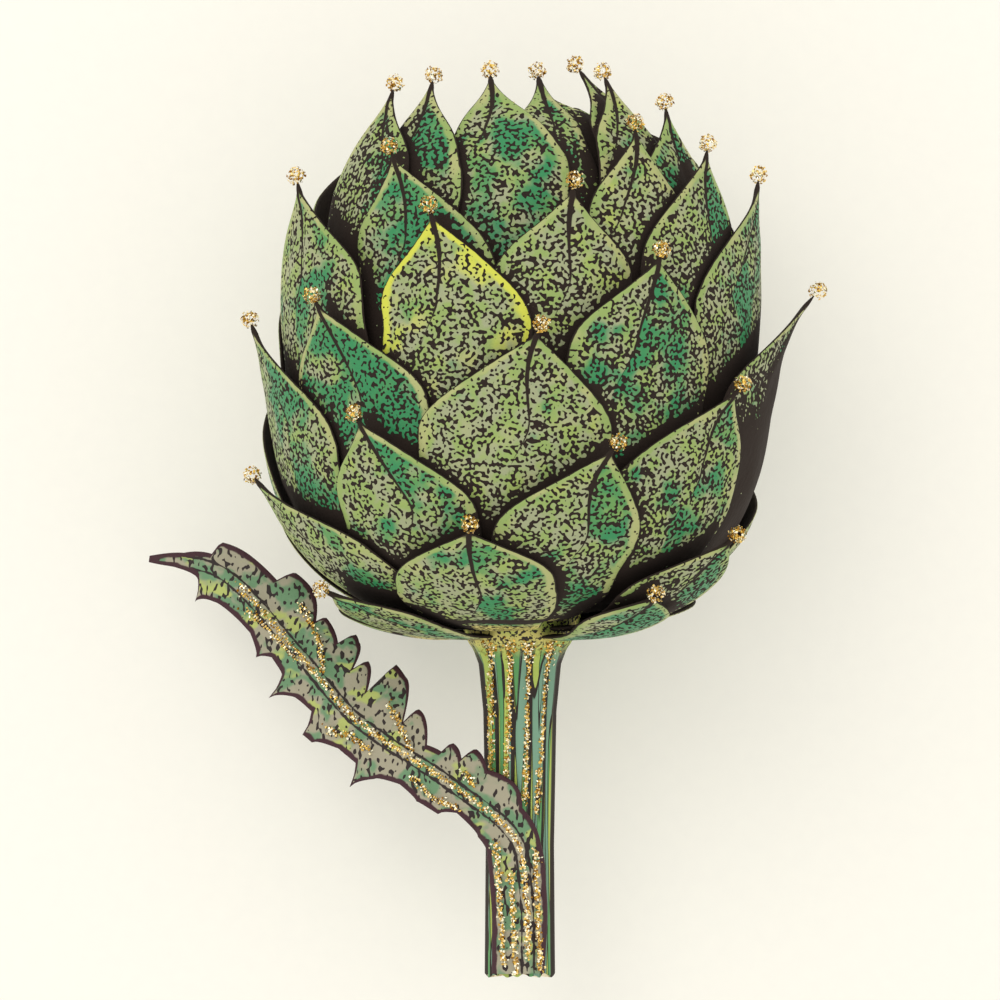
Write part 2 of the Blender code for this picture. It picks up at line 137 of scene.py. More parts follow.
@dataclass
class Meridian:
    """The head's outline by arc length, from the middle of the base to the middle of the crown.

    Radius = widest * |cos turn| ** (2 / roundness). Height = waist + rise * sign(turn) *
    |sin turn| ** (2 / roundness), with one rise and roundness below the waist and one above.
    """

    widest: float = 0.0545
    base: float = -0.003
    waist: float = 0.051
    top: float = 0.1195
    base_roundness: float = 2.65
    crown_roundness: float = 2.6
    samples: int = 2001
    radius: Array = field(init=False, repr=False)
    height: Array = field(init=False, repr=False)
    arc: Array = field(init=False, repr=False)

    def __post_init__(self) -> None:
        """Work out radius, height and arc length at every sample."""
        turn = np.linspace(-math.pi / 2, math.pi / 2, self.samples)
        power = 2.0 / np.where(turn < 0, self.base_roundness, self.crown_roundness)
        rise = np.where(turn < 0, self.waist - self.base, self.top - self.waist)
        self.radius = self.widest * np.abs(np.cos(turn)) ** power
        self.height = self.waist + rise * np.sign(turn) * np.abs(np.sin(turn)) ** power
        steps = np.hypot(np.diff(self.radius), np.diff(self.height))
        self.arc = np.concatenate(([0.0], np.cumsum(steps)))
        along_r = np.gradient(self.radius, self.arc)
        along_z = np.gradient(self.height, self.arc)
        size = np.hypot(along_r, along_z)
        self.out_r = along_z / size
        self.out_z = -along_r / size

    @property
    def length(self) -> float:
        """Whole arc length."""
        return float(self.arc[-1])

    @property
    def waist_arc(self) -> float:
        """Arc length at the widest place."""
        return float(self.arc[self.samples // 2])

    def point(self, arc: Array, depth: Array) -> tuple[Array, Array]:
        """Radius and height at arc lengths, moved inwards along the normal.

        Args:
            arc: Arc lengths in metres.
            depth: How far inwards, in metres.

        Returns:
            Radii and heights.
        """
        radius = np.interp(arc, self.arc, self.radius)
        height = np.interp(arc, self.arc, self.height)
        out_r = np.interp(arc, self.arc, self.out_r)
        out_z = np.interp(arc, self.arc, self.out_z)
        return radius - depth * out_r, height - depth * out_z


@dataclass
class StemShape:
    """The turned outline of stem and receptacle."""

    length: float = 0.067
    radius: float = 0.0071
    top_radius: float = 0.0083
    collar_radius: float = 0.0094
    foot_radius: float = 0.0105
    heart_radius: float = 0.020
    foot: float = 0.0005
    heart_top: float = 0.028
    waist: float = 0.97
    swell: float = 1.04

    def outline(self, height: Array) -> Array:
        """Radius of the side at plant heights, by straight runs between the named rings."""
        rings = ((-self.length, self.radius), (-self.length * 0.6, self.radius * self.waist),
                 (-self.length * 0.2, self.radius * self.swell), (-0.004, self.top_radius),
                 (-0.001, self.collar_radius), (self.foot, self.foot_radius),
                 (self.heart_top, self.heart_radius))
        heights, radii = zip(*rings)
        return np.interp(height, heights, radii)


@dataclass
class Bract:
    """One bract of the head: where it sits and the surface that it follows."""

    name: str
    meridian: Meridian
    azimuth: float
    lean: float
    place: float
    width: float
    bent: float = 0.0
    thickness: float = 0.0013
    slope: float = 0.10
    spine_width: float = 0.0014
    spine_length: float = 0.002
    fullness: float = 0.6
    shoulder: float = 0.16
    short: float = 0.0
    inset: float = 0.0

    def __post_init__(self) -> None:
        """Turn degrees into radians and find how far the tip stands off the head."""
        self.azimuth = math.radians(self.azimuth)
        self.lean = math.radians(self.lean)
        self.tip = self.place * self.meridian.length
        pressed = min(1.0, 3.0 * (1 + math.cos(self.azimuth + self.lean)))
        self.spread = pressed * (0.002 + 0.003 * max(0.0, 2 * self.place - 1)) + self.bent

    def depth(self, arc: Array) -> Array:
        """Depth of the outer face: inset + slope * below - spread * exp(-below / 7 mm)."""
        below = np.maximum(self.tip - arc, 0.0)
        return self.inset + self.slope * below - self.spread * np.exp(-below / 0.007)

    def centre(self, arc: Array) -> Array:
        """Azimuth of the middle line, which leans by a square law over the last 30 mm."""
        below = np.clip((self.tip - arc) / 0.030, 0.0, 1.0)
        return self.azimuth + self.lean * (1 - below) ** 2

    def half_angle(self, arc: Array) -> Array:
        """Half of the width as an angle: a narrow spine, then rounded sides to full width."""
        radius, _ = self.meridian.point(arc, self.depth(arc))
        spine = self.spine_width / 2 / np.maximum(radius, 0.002)
        run = min(0.025, 0.30 * self.tip) - self.spine_length
        below = np.clip((self.tip - self.spine_length - arc) / run, 0.0, 1.0)
        full = math.radians(self.width) / 2 - spine
        shoulder = 1 + self.shoulder * (4 * below * (1 - below)) ** 2
        return spine + full * below * (1 + self.fullness - self.fullness * below) * shoulder

    def base_arc(self, stem: StemShape) -> float:
        """Arc length where the bract meets the receptacle, or where a short one stops."""
        if self.short:
            return self.tip - self.short
        arc = np.linspace(0.0, min(self.tip, self.meridian.waist_arc), self.meridian.samples)
        radius, height = self.meridian.point(arc, self.depth(arc) + self.thickness / 2)
        inside = radius < np.maximum(stem.outline(height), stem.foot_radius) + 0.0005
        return float(arc[np.nonzero(inside)[0][-1] + 1])


def turn_between(first: Array, second: Array) -> Array:
    """Signed angle from second to first, within half a turn."""
    return (first - second + math.pi) % (2 * math.pi) - math.pi


def needed_inset(inner: Bract, outer: Bract, gap: float = 0.0005, side: float = 1.5) -> float:
    """How deep the inner bract has to start to pass beneath the outer one.

    Args:
        inner: The bract with the higher tip.
        outer: A bract with a lower tip.
        gap: Room between the two faces in metres.
        side: Room between their sides in degrees.

    Returns:
        The depth in metres, 0 where they never meet.
    """
    arc = np.linspace(0.0, min(inner.tip, outer.tip), inner.meridian.samples)
    apart = np.abs(turn_between(inner.centre(arc), outer.centre(arc)))
    touching = apart < inner.half_angle(arc) + outer.half_angle(arc) + math.radians(side)
    if not touching.any():
        return 0.0
    missing = outer.depth(arc) + inner.thickness + gap - inner.depth(arc)
    return max(0.0, float(missing[touching].max()))


def settle_layers(bracts: list[Bract]) -> None:
    """Start each bract just deep enough to clear all the bracts with lower tips."""
    ordered = sorted(bracts, key=lambda bract: bract.tip)
    for index, bract in enumerate(ordered):
        bract.inset = max((needed_inset(bract, outer) for outer in ordered[:index]), default=0.0)


@dataclass
class Pose:
    """The way from the plant's upright frame to the world, with the artichoke lying down."""

    rest: Bract
    stem: StemShape
    tilt: float = 5.0
    flat_spot_depth: float = 0.0008

    def __post_init__(self) -> None:
        """Find the lift and the way back that put the resting bract's flat spot at the origin."""
        self.sine = math.sin(math.radians(self.tilt))
        self.cosine = math.cos(math.radians(self.tilt))
        arc = np.linspace(self.rest.base_arc(self.stem), self.rest.tip, 2001)
        radius, height = self.rest.meridian.point(arc, self.rest.depth(arc))
        drop = radius * self.cosine - height * self.sine
        lowest = int(np.argmax(drop))
        self.lift = float(drop[lowest]) - self.flat_spot_depth
        self.back = float(height[lowest] * self.cosine + radius[lowest] * self.sine)

    def place(self, side: Array, front: Array, up: Array) -> Array:
        """World points of plant points, as an array with a last axis of three."""
        side, front, up = np.broadcast_arrays(side, front, up)
        along = up * self.cosine - front * self.sine - self.back
        return np.stack((side, along, up * self.sine + front * self.cosine + self.lift), axis=-1)


# ---------------------------------------------------------------- meshes


def ring_parameters(count: int) -> tuple[Array, Array]:
    """The two parameters of a flattened ring of points round a sheet's cross-section.

    Args:
        count: Points in the ring, an even number.

    Returns:
        Across, from -1 to 1 and back, as -x (3 + x^2) / 4 of the turn's cosine x, and side,
        the turn's sine raised to 0.4 with its sign kept: + on the outer face.
    """
    turn = np.arange(count) * 2 * math.pi / count
    x = np.cos(turn)
    return -x * (3 + x * x) / 4, np.sign(np.sin(turn)) * np.abs(np.sin(turn)) ** 0.4


def signed_volume(points: Array, quads: Array) -> float:
    """Volume inside quads, as the sum of the tetrahedra to the points' mean, + if outward."""
    corner = points[quads] - points.mean(axis=0)
    first = np.einsum("ij,ij->i", corner[:, 0], np.cross(corner[:, 1], corner[:, 2]))
    second = np.einsum("ij,ij->i", corner[:, 0], np.cross(corner[:, 2], corner[:, 3]))
    return float(first.sum() + second.sum()) / 6


@dataclass
class Shell:
    """A closed skin: points on a (row, ring) grid with values on them."""

    points: Array
    values: dict[str, Array]

    def faces(self) -> list[list[int]]:
        """Quads between the rows, and a strip of quads across each end, all facing outwards."""
        rows, count = self.points.shape[:2]
        index = np.arange(rows * count).reshape(rows, count)
        right = np.roll(index, -1, axis=1)
        side = np.stack((index[:-1], right[:-1], right[1:], index[1:]), axis=-1).reshape(-1, 4)
        turned_in = signed_volume(self.points.reshape(-1, 3), side) < 0
        half = count // 2
        k = np.arange(1, half - 1)
        strip = np.stack((k + 1, k, count - k, count - k - 1), axis=-1)
        ends = [[1, 0, count - 1], [half, half - 1, half + 1]]
        top = (rows - 1) * count
        faces = side.tolist() + strip.tolist() + ends
        faces += (strip[:, ::-1] + top).tolist() + [[i + top for i in end[::-1]] for end in ends]
        return [face[::-1] for face in faces] if turned_in else faces


def make_piece(name: str, shells: list[Shell], smooth: bool = True) -> bpy.types.Object:
    """One object from closed skins, with their values as point attributes.

    Args:
        name: The object's name.
        shells: The skins to join.
        smooth: Whether the faces are shaded smooth.

    Returns:
        The object, linked to the scene at the origin.
    """
    points, faces, start = [], [], 0
    for shell in shells:
        flat = shell.points.reshape(-1, 3)
        faces += [[i + start for i in face] for face in shell.faces()]
        points.append(flat)
        start += len(flat)
    mesh = bpy.data.meshes.new(name)
    mesh.from_pydata(np.concatenate(points), [], faces)
    for key in shells[0].values:
        store_values(mesh, key, np.concatenate([s.values[key].reshape(-1, 3) for s in shells]))
    return add_piece(name, mesh, smooth)


def store_values(mesh: bpy.types.Mesh, key: str, values: Array) -> None:
    """Store three numbers per point as a named attribute."""
    layer = mesh.attributes.new(key, "FLOAT_VECTOR", "POINT")
    layer.data.foreach_set("vector", values.astype(np.float32).ravel())


def add_piece(name: str, mesh: bpy.types.Mesh, smooth: bool) -> bpy.types.Object:
    """Link a mesh as an object, shaded smooth or flat."""
    mesh.polygons.foreach_set("use_smooth", np.full(len(mesh.polygons), smooth))
    mesh.validate()
    mesh.update()
    piece = bpy.data.objects.new(name, mesh)
    bpy.context.scene.collection.objects.link(piece)
    return piece


def hand_in(piece: bpy.types.Object, material: bpy.types.Material, slot: str, *nodes: str) -> None:
    """Dress a piece, tie it to the body and hide the solids that it replaces.

    Args:
        piece: The finished object.
        material: Its material.
        slot: Not used.
        nodes: The solids that it replaces, if any.
    """
    piece.data.materials.append(material)
    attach(piece, BODY)
    if nodes:
        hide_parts(*nodes)
    log.info("%s: %d faces", piece.name, len(piece.data.polygons))


# ---------------------------------------------------------------- finishes


class Graph:
    """A short way to wire a material's nodes."""

    def __init__(self, name: str) -> None:
        """Start a material with a Principled shader."""
        self.material = bpy.data.materials.new(name)
        self.material.use_nodes = True
        self.tree = self.material.node_tree
        self.shader = self.tree.nodes["Principled BSDF"]
        self.coords = self.tree.nodes.new("ShaderNodeTexCoord").outputs["Object"]

    def put(self, socket: bpy.types.NodeSocket, value: object) -> None:
        """Link a socket, or set it to a number or colour."""
        if isinstance(value, bpy.types.NodeSocket):
            self.tree.links.new(value, socket)
        else:
            socket.default_value = value

    def vector(self, name: str) -> bpy.types.NodeSocket:
        """A point attribute as one vector."""
        node = self.tree.nodes.new("ShaderNodeAttribute")
        node.attribute_name = name
        return node.outputs["Vector"]

    def values(self, name: str) -> list[bpy.types.NodeSocket]:
        """The three numbers of a point attribute."""
        split = self.tree.nodes.new("ShaderNodeSeparateXYZ")
        self.put(split.inputs[0], self.vector(name))
        return list(split.outputs)

    def math(self, operation: str, first: object, second: object = 0.0) -> bpy.types.NodeSocket:
        """One Math node."""
        node = self.tree.nodes.new("ShaderNodeMath")
        node.operation = operation
        self.put(node.inputs[0], first)
        self.put(node.inputs[1], second)
        return node.outputs[0]

    def add(self, first: object, second: object) -> bpy.types.NodeSocket:
        """First + second."""
        return self.math("ADD", first, second)

    def less(self, first: object, second: object) -> bpy.types.NodeSocket:
        """First - second."""
        return self.math("SUBTRACT", first, second)

    def times(self, first: object, second: object) -> bpy.types.NodeSocket:
        """First * second."""
        return self.math("MULTIPLY", first, second)

    def apart(self, first: object, second: object = 0.0) -> bpy.types.NodeSocket:
        """How far first is from second, without a sign."""
        return self.math("ABSOLUTE", self.less(first, second))

    def most(self, *values: object) -> bpy.types.NodeSocket:
        """The largest of two or more values."""
        best = values[0]
        for value in values[1:]:
            best = self.math("MAXIMUM", best, value)
        return best

    def wobble(self, reach: float) -> bpy.types.NodeSocket:
        """A small wander, reach times a noise about 0, that makes drawn lines uneven."""
        return self.times(self.less(self.noise(500.0, 2.0), 0.5), reach)

    def noise(self, scale: float, detail: float = 1.0, coords: object = None,
              stretch: tuple[float, float, float] = (1.0, 1.0, 1.0)) -> bpy.types.NodeSocket:
        """A noise from 0 to 1 on Object coordinates, or on the given ones."""
        node = self.tree.nodes.new("ShaderNodeTexNoise")
        place = self.tree.nodes.new("ShaderNodeMapping")
        place.inputs["Scale"].default_value = stretch
        self.put(place.inputs["Vector"], coords or self.coords)
        self.put(node.inputs["Vector"], place.outputs[0])
        node.inputs["Scale"].default_value = scale
        node.inputs["Detail"].default_value = detail
        node.inputs["Roughness"].default_value = 0.5
        return node.outputs[0]

    def step(self, value: object, low: object, high: object) -> bpy.types.NodeSocket:
        """0 below low, 1 above high and smooth between."""
        node = self.tree.nodes.new("ShaderNodeMapRange")
        node.interpolation_type = "SMOOTHSTEP"
        self.put(node.inputs["Value"], value)
        self.put(node.inputs["From Min"], low)
        self.put(node.inputs["From Max"], high)
        return node.outputs[0]

    def mix(self, share: object, first: object, second: object) -> bpy.types.NodeSocket:
        """A colour between two, either of them a display colour or a socket."""
        node = self.tree.nodes.new("ShaderNodeMix")
        node.data_type = "RGBA"
        self.put(node.inputs[0], share)
        for socket, value in ((node.inputs[6], first), (node.inputs[7], second)):
            self.put(socket, linear(value) if isinstance(value, tuple) else value)
        return node.outputs[2]

    def finish(self, colour: object, height: object, depth: float, rough: object,
               bump: float = 0.5) -> bpy.types.Material:
        """Wire colour, roughness and a bump of the given depth in metres to the shader."""
        node = self.tree.nodes.new("ShaderNodeBump")
        node.inputs["Distance"].default_value = depth
        node.inputs["Strength"].default_value = bump
        self.put(node.inputs["Height"], height)
        self.put(self.shader.inputs["Normal"], node.outputs[0])
        self.put(self.shader.inputs["Base Color"], colour)
        self.put(self.shader.inputs["Roughness"], rough)
        self.shader.inputs["Specular IOR Level"].default_value = 0.30
        return self.material


@dataclass(frozen=True)
class BractSkin:
    """The skin of a bract: coloured ground, pale rim, ink stipple, groove and dark spine.

    The "skin" values are metres from the groove's line, below the tip and in from the edge; on the
    inner face the edge is 0, which inks it all dark as painted shade. The tint and shade values are
    green, yellow and ink, each from 0 to 1, where the ink is painted shade. The "foot" values start
    with the metres above the bract's foot.
    """

    name: str = "bract_skin"
    pale: Colour = (152, 158, 122)
    leafy: Colour = (140, 162, 92)
    emerald: Colour = (48, 132, 82)
    yellow: Colour = (198, 202, 72)
    rim: Colour = (166, 170, 112)
    heart: Colour = (196, 184, 104)
    ink: Colour = (40, 30, 24)
    stipple_scale: float = 1300.0
    coverage: float = 0.556
    rim_width: float = 0.0016
    foot_height: float = 0.0125
    foot_band: float = 0.0140

    def material(self) -> bpy.types.Material:
        """Wire the whole finish."""
        g = Graph(self.name)
        line, below, edge = g.values("skin")
        green, yellow, ink = g.values("tint_and_shade")
        wobble = g.wobble(0.0016)
        near = g.add(edge, wobble)
        patches = g.noise(105.0, 3.0)
        ground = g.mix(g.step(g.noise(260.0, 2.0), 0.40, 0.62), self.pale, self.leafy)
        beside = g.times(g.step(line, -0.0004, 0.0004), g.step(line, 0.020, 0.008))
        limit = g.less(0.74, g.times(green, 0.26))
        limit = g.less(limit, g.times(beside, g.times(green, 0.26)))
        shade = g.step(patches, g.less(limit, 0.07), g.add(limit, 0.07))
        ground = g.mix(shade, ground, self.emerald)
        glow = g.times(yellow, g.step(g.noise(170.0, 2.0), 0.46, 0.70))
        margin = g.step(near, 0.0080, 0.0020)
        glow = g.times(glow, g.add(0.35, g.times(margin, 0.65)))
        ground = g.mix(glow, ground, self.yellow)
        rim = g.step(near, self.rim_width * 1.3, self.rim_width * 0.7)
        rim_colour = g.mix(g.step(g.noise(120.0), 0.42, 0.60), self.rim, self.leafy)
        rim_colour = g.mix(g.step(yellow, 0.5, 0.9), rim_colour, self.yellow)
        ground = g.mix(rim, ground, rim_colour)
        foot = g.add(g.values("foot")[0], g.times(wobble, 1.5))
        heart = g.step(foot, self.foot_height, 0.8 * self.foot_height)
        ground = g.mix(heart, ground, self.heart)
        dots = g.noise(self.stipple_scale, 0.0)
        # Painted shade: the ink value makes the stipple denser, and nearly solid where it is deep.
        limit = g.less(self.coverage, g.times(ink, 0.16))
        limit = g.less(limit, g.times(g.step(ink, 0.60, 0.95), 0.30))
        limit = g.add(limit, g.times(rim, 0.16))
        limit = g.add(limit, g.times(shade, 0.022))
        stipple = g.step(dots, g.less(limit, 0.02), g.add(limit, 0.02))
        groove = g.add(g.apart(line), g.times(below, 0.024))
        groove = g.step(g.add(groove, g.times(wobble, 0.22)), 0.00078, 0.00056)
        spine = g.step(g.add(below, wobble), 0.0030, 0.0018)
        outline = g.step(g.add(edge, g.times(wobble, 0.25)), 0.00032, 0.00018)
        band = g.step(g.apart(foot, self.foot_band), 0.0018, 0.0010)
        marks = g.most(stipple, groove, spine, outline, band)
        colour = g.mix(marks, ground, self.ink)
        height = g.less(g.noise(700.0, 3.0), g.times(marks, 0.35))
        return g.finish(colour, height, 0.0003, g.step(marks, -1.2, 1.4))


@dataclass(frozen=True)
class StemSkin:
    """The stem: streaks of green and yellow-green along it, inked grooves, painted shade at its
    sides, a cut end.

    The "around" values are the turn's cosine and sine and the height times 5. The "skin" values
    are the rib (1 at a crest), the share of receptacle, and the share of cut face.
    """

    name: str = "stem_skin"
    pale: Colour = (172, 190, 92)
    green: Colour = (92, 152, 92)
    blue: Colour = (118, 156, 132)
    heart: Colour = (206, 196, 112)
    cut: Colour = (228, 216, 184)
    fibre: Colour = (176, 158, 118)
    ink: Colour = (40, 30, 24)

    def material(self) -> bpy.types.Material:
        """Wire the whole finish."""
        g = Graph(self.name)
        rib, heart, cut = g.values("skin")
        around = g.vector("around")
        streak = g.noise(4.6, 0.0, around)
        second = g.noise(5.2, 0.0, around, (1.0, 1.0, 1.3))
        colour = g.mix(g.step(streak, 0.44, 0.47), self.green, self.pale)
        colour = g.mix(g.step(second, 0.55, 0.58), colour, self.blue)
        crack = g.apart(streak, 0.455)
        other = g.apart(second, 0.565)
        inked = g.step(g.math("MINIMUM", crack, other), 0.022, 0.014)
        sideways = g.values("around")[1]
        groove = g.step(g.add(rib, g.times(g.noise(60.0, 2.0), 0.5)), -0.35, -0.6)
        # Painted shade: solid ink down the right flank and the far left edge, where the stem turns
        # away from the light.
        inked = g.most(inked, g.step(sideways, 0.86, 0.90), g.step(sideways, -0.95, -0.97), groove)
        heart_ground = g.mix(g.step(g.noise(170.0, 2.0), 0.45, 0.60), self.heart, self.pale)
        colour = g.mix(heart, colour, heart_ground)
        dots = g.step(g.noise(1350.0, 1.0), 0.53, 0.57)
        inked = g.add(g.times(inked, g.less(1.0, heart)), g.times(dots, heart))
        inked = g.times(inked, g.less(1.0, cut))
        fibre = g.mix(g.step(g.noise(900.0, 2.0), 0.45, 0.62), self.cut, self.fibre)
        colour = g.mix(cut, g.mix(inked, colour, self.ink), fibre)
        height = g.less(g.noise(500.0, 3.0), g.times(inked, 0.5))
        return g.finish(colour, height, 0.0003, 0.55)


@dataclass(frozen=True)
class LeafSkin:
    """The leaf: grey-green ground with green and yellow patches, flecks, veins and dark edge.

    The "skin" values are metres from the midrib's line, in from the edge and from the nearest
    side vein.
    """

    name: str = "leaf_skin"
    grey: Colour = (160, 154, 132)
    green: Colour = (104, 140, 104)
    yellow: Colour = (172, 182, 104)
    ink: Colour = (42, 32, 30)
    edge: Colour = (62, 32, 40)

    def material(self) -> bpy.types.Material:
        """Wire the whole finish."""
        g = Graph(self.name)
        midrib, edge, vein = g.values("skin")
        wobble = g.wobble(0.0010)
        colour = g.mix(g.step(g.noise(190.0, 2.0), 0.46, 0.58), self.grey, self.green)
        sunny = g.step(g.noise(150.0, 2.0, None, (1.0, 1.4, 1.0)), 0.57, 0.66)
        colour = g.mix(sunny, colour, self.yellow)
        flecks = g.noise(900.0, 0.0, None, (1.4, 0.8, 1.0))
        fleck = g.step(flecks, 0.605, 0.63)
        near = g.apart(g.apart(midrib), 0.0012)
        rib_lines = g.step(g.add(near, wobble), 0.00032, 0.00015)
        marks = g.most(fleck, rib_lines, g.step(g.add(vein, wobble), 0.00042, 0.00022))
        colour = g.mix(marks, colour, self.ink)
        border = g.step(g.add(edge, wobble), 0.00120, 0.00085)
        colour = g.mix(border, colour, self.edge)
        height = g.less(g.noise(600.0, 3.0), g.times(marks, 0.4))
        return g.finish(colour, height, 0.0003, 0.58)


@dataclass(frozen=True)
class GoldGlitter:
    """Loose flakes of metal glitter, from bronze through gold to almost white.

    The "skin" values are one random number from 0 to 1 for each flake, three times.
    """

    name: str = "gold_glitter"
    bronze: Colour = (160, 112, 34)
    gold: Colour = (240, 202, 100)
    bright: Colour = (255, 250, 222)

    def material(self) -> bpy.types.Material:
        """Wire the whole finish."""
        g = Graph(self.name)
        chance = g.values("skin")[0]
        colour = g.mix(g.step(chance, 0.10, 0.45), self.bronze, self.gold)
        colour = g.mix(g.step(chance, 0.50, 0.85), colour, self.bright)
        material = g.finish(colour, g.noise(4000.0), 0.00002, g.step(chance, 1.9, -1.4), 0.2)
        g.shader.inputs["Metallic"].default_value = 1.0
        return material


# ---------------------------------------------------------------- sub-assemblies


@dataclass
class Head:
    """All the open bracts and the closed bud."""

    meridian: Meridian
    stem: StemShape
    rows: int = 60
    ring: int = 52
    groove_depth: float = 0.00040
    groove_width: float = 0.0010
    wave: float = 0.00014
    shade_reach: float = 0.0042
    shade_solid: float = 0.0007
    shade_ink: float = 0.62
    crowding: float = 1.6
    raggedness: float = 0.035
    tip_round: float = 0.0016
    lip_height: float = 0.00016
    seed: int = 7

    def __post_init__(self) -> None:
        """Lay out every bract, then settle the layers from the lowest tip up."""
        self.bracts = [
            Bract(f"bract_{rank}_{number}", self.meridian, *sizes)
            for rank, row in enumerate(RANKS, 1)
            for number, sizes in enumerate(row, 1)
        ]
        self.young = [
            Bract(f"young_{ring}_{number}", self.meridian, first + number * 360 / count, 0,
                  place, width, -0.003, short=0.045, fullness=0.95, spine_length=0.0008)
            for ring, (count, place, width, first) in enumerate(YOUNG_RINGS, 1)
            for number in range(count)
        ]
        settle_layers(self.bracts + self.young)

    def cover(self, bract: Bract, arc: Array, angle: Array, radius: Array) -> Array:
        """Painted shade beside and beneath the bracts that lie over this one.

        Ink = shade ink * exp(-distance / reach), raised to 1 within a solid line beside the nearest
        covering outline, with a longer reach and a wider line on its right, and 1 beneath it.

        Args:
            bract: The bract to shade.
            arc: Arc lengths, one per row.
            angle: Azimuths on the grid.
            radius: Radii on the grid.

        Returns:
            Ink from 0 to 1 on the grid.
        """
        ink = np.zeros(angle.shape)
        for other in self.bracts + self.young:
            if other.tip >= bract.tip or other is bract:
                continue
            turn = turn_between(angle, other.centre(arc)[:, None])
            beside = (np.abs(turn) - other.half_angle(arc)[:, None]) * radius
            above = np.maximum(arc - other.tip, 0.0)[:, None]
            distance = np.hypot(np.maximum(beside, 0.0) * 0.72, above)
            lee = 1 + 0.35 * np.sign(turn)
            fade = self.shade_ink * np.exp(-distance / (self.shade_reach * lee))
            solid = smooth_step(-distance, -2.1 * self.shade_solid * lee, -0.7 * self.shade_solid)
            ink = np.maximum(ink, np.maximum(fade, solid))
        return ink

    @staticmethod
    def lee(bract: Bract, angle: Array, across: Array, dark: float) -> Array:
        """Painted shade as ink on a bract's side away from the light: round to the right, low down
        and when dark.

        Ink = 0.20 sin(angle), held over -0.3, + 0.08 across + 0.30 (0.50 - place), held over 0,
        + 0.34 dark (1 + 0.7 across).

        Args:
            bract: The bract to shade.
            angle: Azimuths on the grid.
            across: Places across the bract, from -1 to 1.
            dark: The tint's dark, its painted shade.

        Returns:
            The ink to add on the grid.
        """
        turned = 0.20 * np.clip(np.sin(angle), -0.3, 1.0) + 0.08 * across
        low = 0.30 * max(0.0, 0.50 - bract.place)
        return turned + low + 0.34 * dark * (1 + 0.7 * across)

    def relief(self, line: Array, below: Array, edge: Array, fade: Array, phase: Array) -> Array:
        """Height of the low waves, the lip along the edge and the groove, over a smooth face.

        Args:
            line: Distances from the groove's line.
            below: Distances below the tip.
            edge: Distances in from the edge.
            fade: How far the groove is there, from 0 to 1.
            phase: Six random turns that shift the waves.

        Returns:
            Heights in metres, 0 at the tip.
        """
        groove = self.groove_depth * np.exp(-((line / self.groove_width) ** 2)) * fade
        waves = np.sin(line / 0.0021 + phase[2]) * np.sin(below / 0.0052 + phase[3])
        waves = waves + 0.7 * np.sin(line / 0.0037 + below / 0.0029 + phase[4])
        lip = self.lip_height * np.exp(-((edge - 0.0009) / 0.0006) ** 2)
        relief = self.wave * waves * smooth_step(edge, 0.0, 0.002) + lip - groove
        return relief * smooth_step(below, 0.002, 0.006)

    def shell(self, bract: Bract, pose: Pose, rng: np.random.Generator) -> Shell:
        """A bract's closed skin.

        The ring's across runs over the width and its side over the thickness: depth = outer
        depth + thickness / 2 - side * half thickness - relief on the outer face.

        Args:
            bract: Its place and sizes.
            pose: The way to the world.
            rng: The source of its small differences.

        Returns:
            The skin with its "skin", "tone" and "foot" values.
        """
        across, side = ring_parameters(self.ring)
        share = np.linspace(0.0, 1.0, self.rows)
        base = bract.base_arc(self.stem)
        arc = base + (bract.tip - base) * (1 - (1 - share) ** self.crowding)
        below = np.maximum(bract.tip - arc, 0.0)[:, None]
        point = np.clip(np.sqrt(below / self.tip_round), 0.04, 1.0)
        phase = rng.uniform(0, 2 * math.pi, 6)
        bend, bow = rng.choice((-1, 1)), rng.uniform(0.0008, 0.0034)
        ragged = 1 + self.raggedness * smooth_step(below, 0.003, 0.010) * np.sin(
            below / 0.0031 + phase[0] + across * (1.5 + phase[1] / 4))
        half = bract.half_angle(arc)[:, None] * point * ragged
        angle = bract.centre(arc)[:, None] + across * half
        radius, height = self.meridian.point(arc, bract.depth(arc))
        radius, height = radius[:, None], height[:, None]
        reach = half * radius
        line = across * reach - bend * bow * smooth_step(below, 0.004, 0.024) * 1.6
        edge = (1 - np.abs(across)) * reach * 0.80
        # An edge of 0 on the inner face inks it all dark: painted shade for the gaps between bracts.
        edge = np.where(side > 0, edge, 0.0)
        inner_fade = smooth_step(-below, -0.030, -0.018)
        relief = self.relief(line, below, edge, inner_fade, phase) * np.clip(side, 0.0, 1.0)
        body = bract.thickness * point * (0.60 + 0.40 * (1 - np.abs(across) ** 3))
        depth = bract.depth(arc)[:, None] + bract.thickness / 2 - side * body / 2 - relief
        radius, height = self.meridian.point(np.broadcast_to(arc[:, None], depth.shape), depth)
        points = pose.place(radius * np.sin(angle), radius * np.cos(angle), height)
        points[..., 2] = np.maximum(points[..., 2], 0.0)
        plain = rng.choice((Tint.EMERALD, Tint.GREEN, Tint.PALE, Tint.DEEP))
        plain = Tint.YOUNG if bract.short else plain
        green, yellow, dark = TINTS.get(bract.name, plain).value
        # Painted shade: ink beneath the bracts that lie over this one and on its side away from the
        # light.
        lee = self.lee(bract, angle, np.clip(across, -1, 1), dark)
        ink = np.clip(self.cover(bract, arc, angle, radius) + lee, 0.0, 1.0)
        # A groove line of 0 on the inner face near the tip inks it too, the same painted shade.
        groove_line = np.where(side > 0, line, 0.0) + 0.004 * (1 - inner_fade)
        tint_and_shade = np.stack(np.broadcast_arrays(green, yellow, ink), axis=-1)
        skin = np.stack(np.broadcast_arrays(groove_line, below, edge), axis=-1)
        height_on_bract = (arc - base)[:, None] * FOOT_SHARES.get(bract.name, 1.0)
        foot = np.stack(np.broadcast_arrays(height_on_bract, across, side), axis=-1)
        return Shell(points, {"skin": skin, "tint_and_shade": tint_and_shade, "foot": foot})

